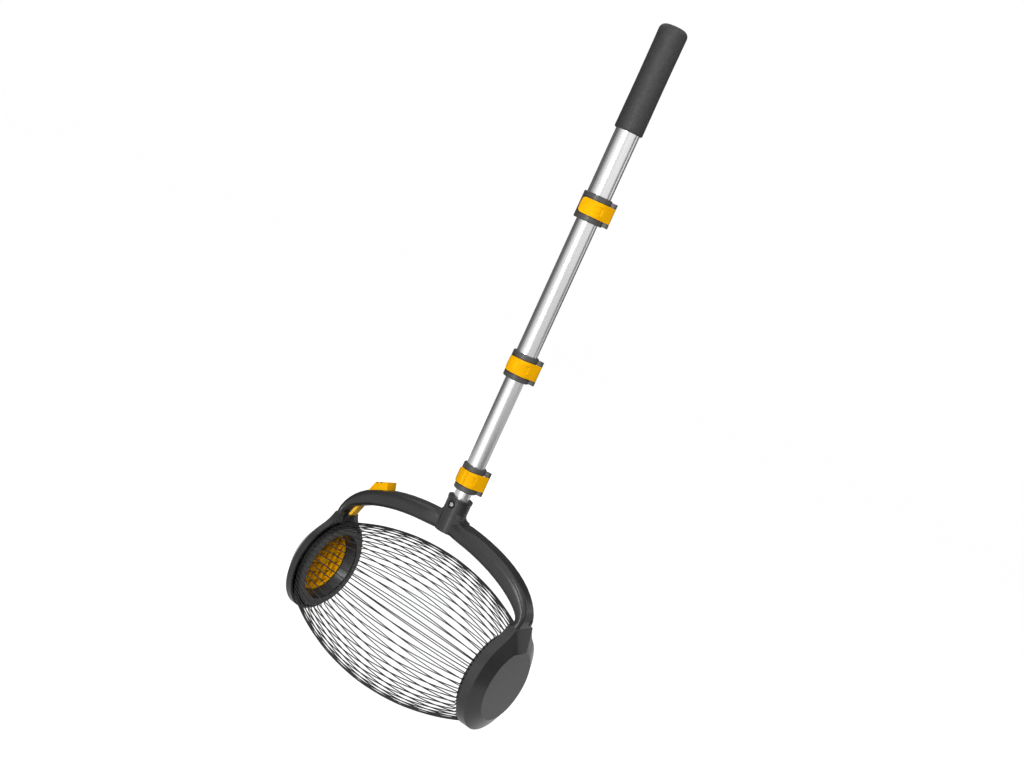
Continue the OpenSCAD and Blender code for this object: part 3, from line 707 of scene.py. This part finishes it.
def buildButton(spec):
    bm = mergedNode("release_lever")
    bmesh.ops.dissolve_limit(bm, angle_limit=math.radians(spec["flat"]), verts=bm.verts, edges=bm.edges)
    # painted shade: faces along the notches' hollow edges take the dark amber material
    for face in bm.faces:
        if any(e.calc_face_angle_signed(0) < spec["hollow"] for e in face.edges):
            face.material_index = 1
    sharp = [e for e in bm.edges if e.calc_face_angle(0) > math.radians(spec["sharp"])]
    bmesh.ops.bevel(bm, geom=sharp, offset=spec["edge"], offset_type="OFFSET", affect="EDGES",
                    segments=spec["segments"], profile=0.5, material=-1, clamp_overlap=True)
    node = "release_lever"
    piece = finishPiece(bm, "thumb_button", node, "yellow_plastic", node, spec["smooth"])
    piece.data.materials.append(notchPaintedShade)


buildButton(button)


# Stage: a pale floor, plain soft light and cards that only show in reflections
stage = {
    "floorSize": 14,
    "floorColor": (0.35, 0.35, 0.35, 1),
    "floorRoughness": 0.9,
    "floorSpecular": 0.1,
    "floorLift": 0.94,  # glow that whitens the floor for the camera
    "floorMirror": 0.55,  # share of the lift that reflections see
    "worldLight": 0.05,
}
softboxes = [
    {
        "name": "keyBox",
        "place": (0.48, -1.48, 1.1),
        "aim": (0, 0, 0.3),
        "size": (0.8, 0.8),
        "watts": 24,
        "mirror": False,  # whether reflections show it
    },
    {
        "name": "edgeStrip",
        "place": (0.85, -0.78, 1.57),
        "aim": (0.08, 0, 0.15),
        "size": (0.22, 1.0),
        "watts": 7,
        "mirror": True,
    },
    {
        "name": "backBox",
        "place": (-0.7, 1.7, 1.1),
        "aim": (0, 0, 0.3),
        "size": (0.9, 0.9),
        "watts": 12,
        "mirror": False,
    },
    {
        "name": "faceBox",
        "place": (0.3, -1.3, 0.5),
        "aim": (0, 0, 0.5),
        "size": (0.25, 1.0),
        "watts": 8,
        "mirror": True,
    },
]
# Cards stand on arcs round the handle: turns in degrees from straight in front, towards the end cap
cards = [
    {"name": "darkCard", "radius": 1.0, "turns": (-150, -62), "heights": (0.1, 1.15), "shade": 0.13},
    {"name": "dimCard", "radius": 1.0, "turns": (-62, -40), "heights": (0.1, 1.15), "shade": 0.36},
    {"name": "softCard", "radius": 1.0, "turns": (-40, -24), "heights": (0.1, 1.15), "shade": 0.68},
    {"name": "paleCard", "radius": 1.0, "turns": (40, 205), "heights": (-0.6, 0.27), "shade": 0.47},
    {"name": "dipCard", "radius": 1.0, "turns": (26, 46), "heights": (0.31, 1.6), "shade": 0.62},
    {"name": "lineCard", "radius": 1.0, "turns": (112, 132), "heights": (0.31, 1.6), "shade": 0.12},
    {"name": "backCard", "radius": 1.0, "turns": (152, 215), "heights": (0.3, 1.6), "shade": 0.1},
    {"name": "nearCard", "radius": 0.45, "turns": (66, 128), "heights": (0.0, 0.25), "shade": 0.2},
    {"name": "whiteCard", "radius": 1.0, "turns": (-24, 40), "heights": (0.0, 0.31), "shade": 1.0},
    {"name": "sparkCard", "radius": 0.6, "turns": (6, 20), "heights": (0.0, 0.2), "shade": 3.0},
]
cardSteps = 24


def buildFloor(spec):
    bm = bmesh.new()
    bmesh.ops.create_grid(bm, x_segments=2, y_segments=2, size=spec["floorSize"])
    mesh = meshFrom(bm, "floor")
    floor = linkObject("floor", mesh)
    mat, tree, shader = newMaterial("floorPaper")
    shader.inputs["Base Color"].default_value = spec["floorColor"]
    shader.inputs["Roughness"].default_value = spec["floorRoughness"]
    shader.inputs["Specular IOR Level"].default_value = spec["floorSpecular"]
    glow = tree.nodes.new("ShaderNodeEmission")
    path = tree.nodes.new("ShaderNodeLightPath")
    both = tree.nodes.new("ShaderNodeAddShader")
    lift = tree.nodes.new("ShaderNodeMath")
    lift.operation = "MULTIPLY"
    lift.inputs[1].default_value = spec["floorLift"]
    mirrored = tree.nodes.new("ShaderNodeMath")
    mirrored.operation = "MULTIPLY"
    mirrored.inputs[1].default_value = spec["floorMirror"]
    seen = tree.nodes.new("ShaderNodeMath")
    seen.operation = "MAXIMUM"
    tree.links.new(path.outputs["Is Glossy Ray"], mirrored.inputs[0])
    tree.links.new(path.outputs["Is Camera Ray"], seen.inputs[0])
    tree.links.new(mirrored.outputs["Value"], seen.inputs[1])
    tree.links.new(seen.outputs["Value"], lift.inputs[0])
    tree.links.new(lift.outputs["Value"], glow.inputs["Strength"])
    tree.links.new(shader.outputs["BSDF"], both.inputs[0])
    tree.links.new(glow.outputs["Emission"], both.inputs[1])
    tree.links.new(both.outputs["Shader"], tree.nodes["Material Output"].inputs["Surface"])
    mesh.materials.append(mat)


def buildWorld(spec):
    world = bpy.data.worlds.new("studio")
    bpy.context.scene.world = world
    world.use_nodes = True
    parts, links = world.node_tree.nodes, world.node_tree.links
    soft = parts["Background"]
    soft.inputs["Color"].default_value = (1, 1, 1, 1)
    soft.inputs["Strength"].default_value = spec["worldLight"]
    white = parts.new("ShaderNodeBackground")  # for the camera and for reflections
    white.inputs["Color"].default_value = (1, 1, 1, 1)
    white.inputs["Strength"].default_value = 1
    path = parts.new("ShaderNodeLightPath")
    seen = parts.new("ShaderNodeMath")
    seen.operation = "MAXIMUM"
    seenToo = parts.new("ShaderNodeMath")
    seenToo.operation = "MAXIMUM"
    mix = parts.new("ShaderNodeMixShader")
    links.new(path.outputs["Is Camera Ray"], seen.inputs[0])
    links.new(path.outputs["Is Glossy Ray"], seen.inputs[1])
    links.new(seen.outputs["Value"], seenToo.inputs[0])
    links.new(path.outputs["Is Transmission Ray"], seenToo.inputs[1])
    links.new(seenToo.outputs["Value"], mix.inputs["Fac"])
    links.new(soft.outputs["Background"], mix.inputs[1])
    links.new(white.outputs["Background"], mix.inputs[2])
    links.new(mix.outputs["Shader"], parts["World Output"].inputs["Surface"])


def addSoftbox(spec):
    data = bpy.data.lights.new(spec["name"], "AREA")
    data.shape = "RECTANGLE"
    data.size, data.size_y = spec["size"]
    data.energy = spec["watts"]
    lamp = linkObject(spec["name"], data)
    lamp.visible_glossy = spec["mirror"]
    lamp.visible_camera = False
    place = Vector(spec["place"])
    aim = Vector(spec["aim"]) - place
    lamp.matrix_world = Matrix.Translation(place) @ aim.to_track_quat("-Z", "Y").to_matrix().to_4x4()


def addCard(spec):
    bm = bmesh.new()
    start = math.radians(spec["turns"][0] - 90)  # straight in front is along -Y
    edge = Vector((math.cos(start), math.sin(start), 0)) * spec["radius"]
    ends = [bm.verts.new((edge.x, edge.y, z)) for z in spec["heights"]]
    bm.edges.new(ends)
    bmesh.ops.spin(bm, geom=bm.verts[:] + bm.edges[:], cent=(0, 0, 0), axis=(0, 0, 1),
                   angle=math.radians(spec["turns"][1] - spec["turns"][0]), steps=cardSteps)
    mesh = meshFrom(bm, spec["name"])
    card = linkObject(spec["name"], mesh)
    mat, tree = newMaterial(spec["name"])[:2]
    glow = tree.nodes.new("ShaderNodeEmission")
    glow.inputs["Color"].default_value = (spec["shade"], spec["shade"], spec["shade"], 1)
    tree.links.new(glow.outputs["Emission"], tree.nodes["Material Output"].inputs["Surface"])
    mesh.materials.append(mat)
    card.visible_camera = False
    card.visible_diffuse = False
    card.visible_shadow = False


buildFloor(stage)
buildWorld(stage)
for box in softboxes:
    addSoftbox(box)
for card in cards:
    addCard(card)
bpy.context.scene.view_settings.view_transform = "Standard"
print("stage:", len(softboxes), "softboxes and", len(cards), "cards")


print("done")
